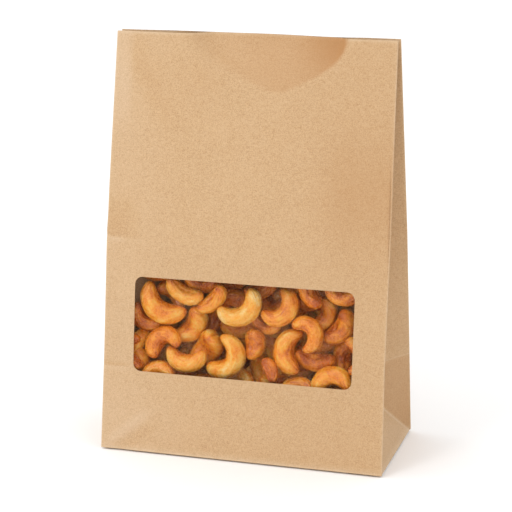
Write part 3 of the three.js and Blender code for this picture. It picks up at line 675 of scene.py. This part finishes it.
def build_heap(material):
    """the nuts behind the ones in the window, and the heap's top"""
    rng = np.random.default_rng(71)
    V, F, A, B = [], [], [], {"along": [], "cosine": [], "sine": []}
    base = 0
    spots = []
    for z in np.arange(12, 113, 14.5):
        for x in np.arange(-60, 61, 17.0):
            for y in np.arange(-24, 27, 12.5):
                p = np.array([x, y, z]) + rng.uniform(-1, 1, 3) * np.array([4.5, 2.5, 4.0])
                depth = (p[1] - front_y(p[2]))
                back = back_y(p[2]) - p[1]
                wall = half_width(p[2]) - fold_in(p[2]) * (1 - min(1, abs(p[1]) / 30)) - abs(p[0])
                pocket = 22 < p[2] < 112 and abs(p[0]) < 80
                if wall < 14 or back < 13.5 or p[2] < 14 or p[2] > 112:
                    continue
                if pocket and depth < 40.5:
                    continue
                if not pocket and depth < 15.5:
                    continue
                spots.append(p)
    for z in np.arange(38, 110, 10.5):                # close behind the ones that show
        for x in np.arange(-64, 65, 12.8):
            p = np.array([x + rng.uniform(-2, 2), 0, z + rng.uniform(-2, 2)])
            p[1] = front_y(p[2]) + rng.uniform(30.5, 34.5)
            if back_y(p[2]) - p[1] > 9:
                spots.append(p)
    for x, z, depth in ((-62.0, 92, 21), (-62, 78, 24), (-62, 64, 23), (-61, 50, 20), (-58, 36, 17), (62, 92, 20), (62, 66, 22),
                        (62, 44, 19), (-40, 34, 17), (-18, 35, 18), (6, 34, 17), (26, 34, 16), (46, 34, 18),
                        (-63.5, 104, 10.5), (-64, 91, 10), (-63.5, 71, 11), (-63.5, 58, 11.5), (-63, 46, 11),
                        (-40, 109, 17), (-20, 110, 20), (0, 109, 19), (20, 110, 18), (40, 109, 18)):
        spots.append(np.array([x, front_y(z) + depth, float(z)]))
    kept = 0
    for k, p in enumerate(spots):
        R, bend, a, b = rng.uniform(7.4, 9.0), rng.uniform(56, 76), rng.uniform(4.6, 5.2), rng.uniform(5.0, 5.6)
        for attempt in range(24):
            q = rng.normal(size=4)
            q /= np.linalg.norm(q)
            M = np.array(Quaternion(q).to_matrix())
            v, f, facts = nut_geometry(R, bend, a, b, 0.08, k * 0.77 + 50, 22, 16)
            v = v @ M.T * (1.0 if attempt < 14 else 0.88) + p
            if in_bag(v):
                break
        else:
            continue
        kept += 1
        V.append(v)
        F += [tuple(i + base for i in t) for t in f]
        A.append(roast_of(facts, rng.uniform(0.35, 0.9), k))
        for key in B:
            B[key].append(facts[key])
        base += len(v)
    print("heap nuts", kept, "of", len(spots), "faces", len(F))
    ob = make_object("nut_heap", np.concatenate(V), F, material, None, dict({"roast": np.concatenate(A)}, **{k: np.concatenate(v) for k, v in B.items()}))
    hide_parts("nut_filling")
    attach(ob, "root")
    return ob


# ------------------------------------------------------------------ materials
class Tree:
    def __init__(self, name):
        self.mat = bpy.data.materials.new(name)
        self.mat.use_nodes = True
        self.nt = self.mat.node_tree
        self.nt.nodes.clear()
        self.out = self.new("ShaderNodeOutputMaterial")

    def new(self, kind, **props):
        n = self.nt.nodes.new(kind)
        for k, v in props.items():
            setattr(n, k, v)
        return n

    def link(self, a, b):
        self.nt.links.new(a, b)

    def noise(self, vec, scale, detail=2.0, rough=0.5, distortion=0.0):
        n = self.new("ShaderNodeTexNoise")
        n.inputs["Scale"].default_value = scale
        n.inputs["Detail"].default_value = detail
        n.inputs["Roughness"].default_value = rough
        n.inputs["Distortion"].default_value = distortion
        self.link(vec, n.inputs["Vector"])
        return n.outputs["Fac"]

    def mapping(self, vec, scale=(1, 1, 1), rot=(0, 0, 0)):
        m = self.new("ShaderNodeMapping")
        m.inputs["Scale"].default_value = scale
        m.inputs["Rotation"].default_value = rot
        self.link(vec, m.inputs["Vector"])
        return m.outputs["Vector"]

    def range(self, v, a, b, c, d):
        m = self.new("ShaderNodeMapRange")
        self.link(v, m.inputs["Value"])
        for k, x in zip(("From Min", "From Max", "To Min", "To Max"), (a, b, c, d)):
            m.inputs[k].default_value = x
        return m.outputs["Result"]

    def math(self, op, a, b=None, clamp=False):
        m = self.new("ShaderNodeMath", operation=op, use_clamp=clamp)
        for k, x in enumerate((a, b)):
            if x is None:
                continue
            if isinstance(x, (int, float)):
                m.inputs[k].default_value = x
            else:
                self.link(x, m.inputs[k])
        return m.outputs[0]

    def mix(self, fac, a, b, mode="MIX"):
        m = self.new("ShaderNodeMix", data_type="RGBA", blend_type=mode)
        for sock, x in ((m.inputs[0], fac), (m.inputs[6], a), (m.inputs[7], b)):
            if isinstance(x, (int, float)):
                sock.default_value = x
            elif isinstance(x, tuple):
                sock.default_value = (*x, 1) if len(x) == 3 else x
            else:
                self.link(x, sock)
        return m.outputs[2]

    def ramp(self, fac, stops, interp="LINEAR"):
        r = self.new("ShaderNodeValToRGB")
        r.color_ramp.interpolation = interp
        el = r.color_ramp.elements
        while len(el) > 1:
            el.remove(el[-1])
        el[0].position, el[0].color = stops[0][0], (*stops[0][1], 1)
        for p, c in stops[1:]:
            e = el.new(p)
            e.color = (*c, 1)
        self.link(fac, r.inputs["Fac"])
        return r.outputs["Color"]

    def bump(self, height, strength, distance, normal=None):
        b = self.new("ShaderNodeBump")
        b.inputs["Strength"].default_value = strength
        b.inputs["Distance"].default_value = distance
        self.link(height, b.inputs["Height"])
        if normal is not None:
            self.link(normal, b.inputs["Normal"])
        return b.outputs["Normal"]


def kraft_material():
    t = Tree("kraft_paper")
    co = t.new("ShaderNodeTexCoord").outputs["Object"]
    mm = t.mapping(co, (1000, 1000, 1000))
    wear_and_highlight = t.new("ShaderNodeAttribute", attribute_name="wear_and_highlight").outputs["Fac"]
    drift = t.noise(mm, 0.11, 3.0, 0.6)
    cloud = t.noise(mm, 0.045, 3.0, 0.55)               # slow drift of the pulp's tone
    mottle = t.noise(mm, 0.32, 4.0, 0.62)               # cloudy formation of the sheet
    fine = t.noise(mm, 2.1, 3.0, 0.6)                   # grain
    fib_a = t.noise(t.mapping(mm, (0.55, 0.55, 2.6), (0, 0.25, 0)), 1.0, 4.0, 0.65, 0.6)
    fib_b = t.noise(t.mapping(mm, (2.4, 2.4, 0.5), (0, 0.35, 0.2)), 1.0, 4.0, 0.65, 0.6)
    fleck = t.range(t.noise(t.mapping(mm, (1.3, 1.3, 2.6), (0.4, 0.7, 0)), 1.0, 2.0, 0.5), 0.70, 0.76, 0, 1)
    pale = t.range(t.noise(t.mapping(mm, (2.2, 2.2, 1.0), (0.2, 0.9, 0)), 1.0, 2.0, 0.5), 0.72, 0.78, 0, 1)
    fibres = t.math("ADD", fib_a, fib_b)
    tone = t.new("ShaderNodeAttribute", attribute_name="tone").outputs["Fac"]
    base = t.mix(t.range(cloud, 0.3, 0.7, 0, 1), (0.437, 0.259, 0.122), (0.502, 0.307, 0.151))
    base = t.mix(t.range(drift, 0.36, 0.64, 0.50, 0.0), base, (0.435, 0.243, 0.100))
    base = t.mix(t.range(mottle, 0.32, 0.68, 0.50, 0.0), base, (0.425, 0.238, 0.102))
    base = t.mix(t.range(fine, 0.40, 0.60, 0.0, 0.9), base, (0.615, 0.402, 0.213))
    base = t.mix(t.range(fibres, 0.90, 1.15, 0.0, 0.6), base, (0.645, 0.442, 0.258))
    base = t.mix(t.math("MULTIPLY", fleck, 0.22), base, (0.30, 0.155, 0.062))
    base = t.mix(t.math("MULTIPLY", pale, 0.45), base, (0.72, 0.55, 0.35))
    # paler paper on folds and edges: partly wear, partly a painted highlight
    worn_and_lit = t.math("MULTIPLY", wear_and_highlight, t.range(mottle, 0.3, 0.7, 0.35, 0.85))
    base = t.mix(worn_and_lit, base, (0.70, 0.53, 0.35))
    # painted shade (tone below 0, deeper orange-brown) and painted highlight (tone above 0, paler) from the bag's tone
    # attribute
    base = t.mix(t.range(tone, 0.0, -0.4, 0.0, 1.0), base, (0.42, 0.195, 0.062))
    base = t.mix(t.range(tone, 0.0, 0.4, 0.0, 1.0), base, (0.78, 0.62, 0.46))
    h = t.math("ADD", t.math("MULTIPLY", fibres, 0.5), t.math("MULTIPLY", fine, 0.6))
    nrm = t.bump(mottle, 0.35, 0.0006)
    nrm = t.bump(h, 0.22, 0.00022, nrm)
    p = t.new("ShaderNodeBsdfPrincipled")
    t.link(base, p.inputs["Base Color"])
    t.link(t.range(fine, 0.3, 0.7, 0.50, 0.66), p.inputs["Roughness"])
    p.inputs["Specular IOR Level"].default_value = 0.35
    t.link(nrm, p.inputs["Normal"])
    t.link(p.outputs[0], t.out.inputs["Surface"])
    return t.mat


def nut_material():
    t = Tree("roasted_nut")
    co = t.new("ShaderNodeTexCoord").outputs["Object"]
    mm = t.mapping(co, (1000, 1000, 1000))
    roast = t.new("ShaderNodeAttribute", attribute_name="roast").outputs["Fac"]
    blot = t.noise(mm, 0.55, 3.0, 0.6)
    grain = t.noise(mm, 3.2, 4.0, 0.65)
    spot = t.range(t.noise(mm, 0.95, 2.0, 0.5), 0.64, 0.72, 0, 1)
    speck = t.range(t.noise(mm, 2.1, 3.0, 0.6), 0.60, 0.70, 0, 1)
    place = t.new("ShaderNodeCombineXYZ")                # along the nut and round it
    for k, key in enumerate(("along", "cosine", "sine")):
        t.link(t.new("ShaderNodeAttribute", attribute_name=key).outputs["Fac"], place.inputs[k])
    lines = t.noise(t.mapping(place.outputs[0], (1.3, 2.4, 2.4)), 1.0, 3.0, 0.55, 0.5)
    ridge = t.math("ABSOLUTE", t.math("SUBTRACT", lines, 0.5))
    crack = t.range(ridge, 0.0, 0.030, 1.0, 0.0)
    soft = t.range(lines, 0.38, 0.62, -0.10, 0.10)
    v = t.math("ADD", roast, t.range(blot, 0.3, 0.7, -0.10, 0.10))
    v = t.math("ADD", v, soft)
    v = t.math("SUBTRACT", v, t.math("MULTIPLY", crack, 0.17))
    v = t.math("ADD", v, t.range(grain, 0.3, 0.7, -0.11, 0.11))
    v = t.math("SUBTRACT", v, t.math("MULTIPLY", speck, 0.17))
    v = t.math("SUBTRACT", v, t.math("MULTIPLY", spot, 0.20), True)
    col = t.ramp(v, [
        (0.00, (0.40, 0.072, 0.005)), (0.20, (0.60, 0.145, 0.008)), (0.40, (0.75, 0.240, 0.013)),
        (0.60, (0.77, 0.335, 0.032)), (0.80, (0.77, 0.435, 0.088)), (1.00, (0.79, 0.560, 0.245))])
    nrm = t.bump(blot, 0.35, 0.0006)
    nrm = t.bump(lines, 0.75, 0.0009, nrm)
    nrm = t.bump(grain, 0.40, 0.00025, nrm)
    p = t.new("ShaderNodeBsdfPrincipled")
    t.link(col, p.inputs["Base Color"])
    t.link(t.range(blot, 0.3, 0.7, 0.20, 0.36), p.inputs["Roughness"])
    p.inputs["Specular IOR Level"].default_value = 0.5
    p.inputs["Subsurface Weight"].default_value = 0.18
    p.inputs["Subsurface Radius"].default_value = (1.0, 0.45, 0.15)
    p.inputs["Subsurface Scale"].default_value = 0.0022
    t.link(nrm, p.inputs["Normal"])
    t.link(p.outputs[0], t.out.inputs["Surface"])
    return t.mat


def film_material():
    t = Tree("clear_film")
    p = t.new("ShaderNodeBsdfPrincipled")
    # the orange base colour is painted warm light: over the gaps between the nuts it stands in for light bounced among
    # them
    p.inputs["Base Color"].default_value = (1.0, 0.62, 0.36, 1)
    p.inputs["Roughness"].default_value = 0.18
    p.inputs["Specular IOR Level"].default_value = 0.5
    co = t.new("ShaderNodeTexCoord").outputs["Object"]
    haze = t.noise(t.mapping(co, (1000, 1000, 1000)), 0.045, 3.0, 0.6)   # faint smears where nuts have rubbed it; they also vary the painted warm light
    t.link(t.range(haze, 0.48, 0.75, 0.010, 0.036), p.inputs["Alpha"])
    t.link(p.outputs[0], t.out.inputs["Surface"])
    t.mat.surface_render_method = "BLENDED"
    return t.mat


def floor_material():
    t = Tree("studio_floor")
    p = t.new("ShaderNodeBsdfPrincipled")
    p.inputs["Base Color"].default_value = (0.97, 0.97, 0.97, 1)
    p.inputs["Roughness"].default_value = 0.9
    p.inputs["Specular IOR Level"].default_value = 0.1
    t.link(p.outputs[0], t.out.inputs["Surface"])
    return t.mat


kraft, nut, pane, floor_mat = kraft_material(), nut_material(), film_material(), floor_material()

bag = build_bag(kraft)
flap_front = prism("flap_front", [(-72.5, -32.3), (72.5, -32.3), (41.4, -1.2), (31.5, 9.6), (-31.5, 9.6), (-41.4, -1.2)], 0.0, 0.28, kraft)
flap_back = prism("flap_back", [(-72.5, 32.1), (-41.4, 1.0), (-38, 0.0), (38, 0.0), (41.4, 1.0), (72.5, 32.1)], 0.26, 0.54, kraft)
for o in (flap_front, flap_back):
    for key in ("wear_and_highlight", "tone"):
        a = o.data.attributes.new(key, "FLOAT", "POINT")
        a.data.foreach_set("value", np.zeros(len(o.data.vertices), np.float32))
bag = join([bag, flap_front, flap_back])
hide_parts("paper_bag")
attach(bag, "root")

film = build_film(pane)
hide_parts("window_film")
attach(film, "root")

for k, row in enumerate(NUTS):
    build_nut(row, nut, k)
build_heap(nut)

# ------------------------------------------------------------------ stage, light, camera
me = bpy.data.meshes.new("floor")
me.from_pydata([(-6, -6, 0), (6, -6, 0), (6, 6, 0), (-6, 6, 0)], [], [(0, 1, 2, 3)])
floor = bpy.data.objects.new("floor", me)
scene.collection.objects.link(floor)
me.materials.append(floor_mat)

world = bpy.data.worlds.new("studio")
scene.world = world
world.use_nodes = True
wt = world.node_tree
bg = wt.nodes["Background"]
wco = wt.nodes.new("ShaderNodeTexCoord").outputs["Generated"]


def sky_lobe(direction, lo, hi, strength):
    """a broad soft light from one side of the room"""
    d = wt.nodes.new("ShaderNodeVectorMath")
    d.operation = "DOT_PRODUCT"
    wt.links.new(wco, d.inputs[0])
    d.inputs[1].default_value = Vector(direction).normalized()
    r = wt.nodes.new("ShaderNodeMapRange")
    r.interpolation_type = "SMOOTHSTEP"
    for k, v in zip(("From Min", "From Max", "To Min", "To Max"), (lo, hi, 0.0, strength)):
        r.inputs[k].default_value = v
    wt.links.new(d.outputs["Value"], r.inputs["Value"])
    return r.outputs["Result"]


def wsum(a, b):
    m = wt.nodes.new("ShaderNodeMath")
    wt.links.new(a, m.inputs[0])
    if isinstance(b, float):
        m.inputs[1].default_value = b
    else:
        wt.links.new(b, m.inputs[1])
    return m.outputs[0]


light = wsum(wsum(wsum(sky_lobe((0, 0, 1), 0.05, 0.9, 0.68), sky_lobe((-0.75, -0.55, 0.35), 0.1, 0.95, 0.35)), sky_lobe((0.85, -0.5, 0.15), 0.35, 0.95, 0.26)), 0.47)
wt.links.new(light, bg.inputs["Strength"])
bg.inputs["Color"].default_value = (1, 1, 1, 1)


def area_light(name, place, aim, size, power, shape="SQUARE", color=(1, 1, 1)):
    L = bpy.data.lights.new(name, "AREA")
    L.shape, L.size, L.energy, L.color = shape, size, power, color
    o = bpy.data.objects.new(name, L)
    scene.collection.objects.link(o)
    o.location = place
    o.rotation_mode = "QUATERNION"
    o.rotation_quaternion = (Vector(aim) - Vector(place)).to_track_quat("-Z", "Y")
    return o


area_light("key", (-0.75, -1.35, 1.25), (0, 0, 0.10), 0.48, 6.12)

cam_data = bpy.data.cameras.new("camera")
cam = bpy.data.objects.new("camera", cam_data)
scene.collection.objects.link(cam)
cam_data.sensor_width = 36.0
cam_data.lens = 125.97

right = Vector((0.95860871, 0.28470876, -0.00320391))
up = Vector((-0.06926016, 0.24408264, 0.96727798))
fwd = Vector((-0.27617454, 0.9270192, -0.25369871))
m = Matrix((right, up, -fwd)).transposed().to_4x4()
m.translation = Vector((0.271162, -0.912955, 0.356916))
cam.matrix_world = m
cam_data.clip_start, cam_data.clip_end = 0.05, 30
scene.camera = cam
scene.view_settings.view_transform = "Standard"
scene.view_settings.look = "None"
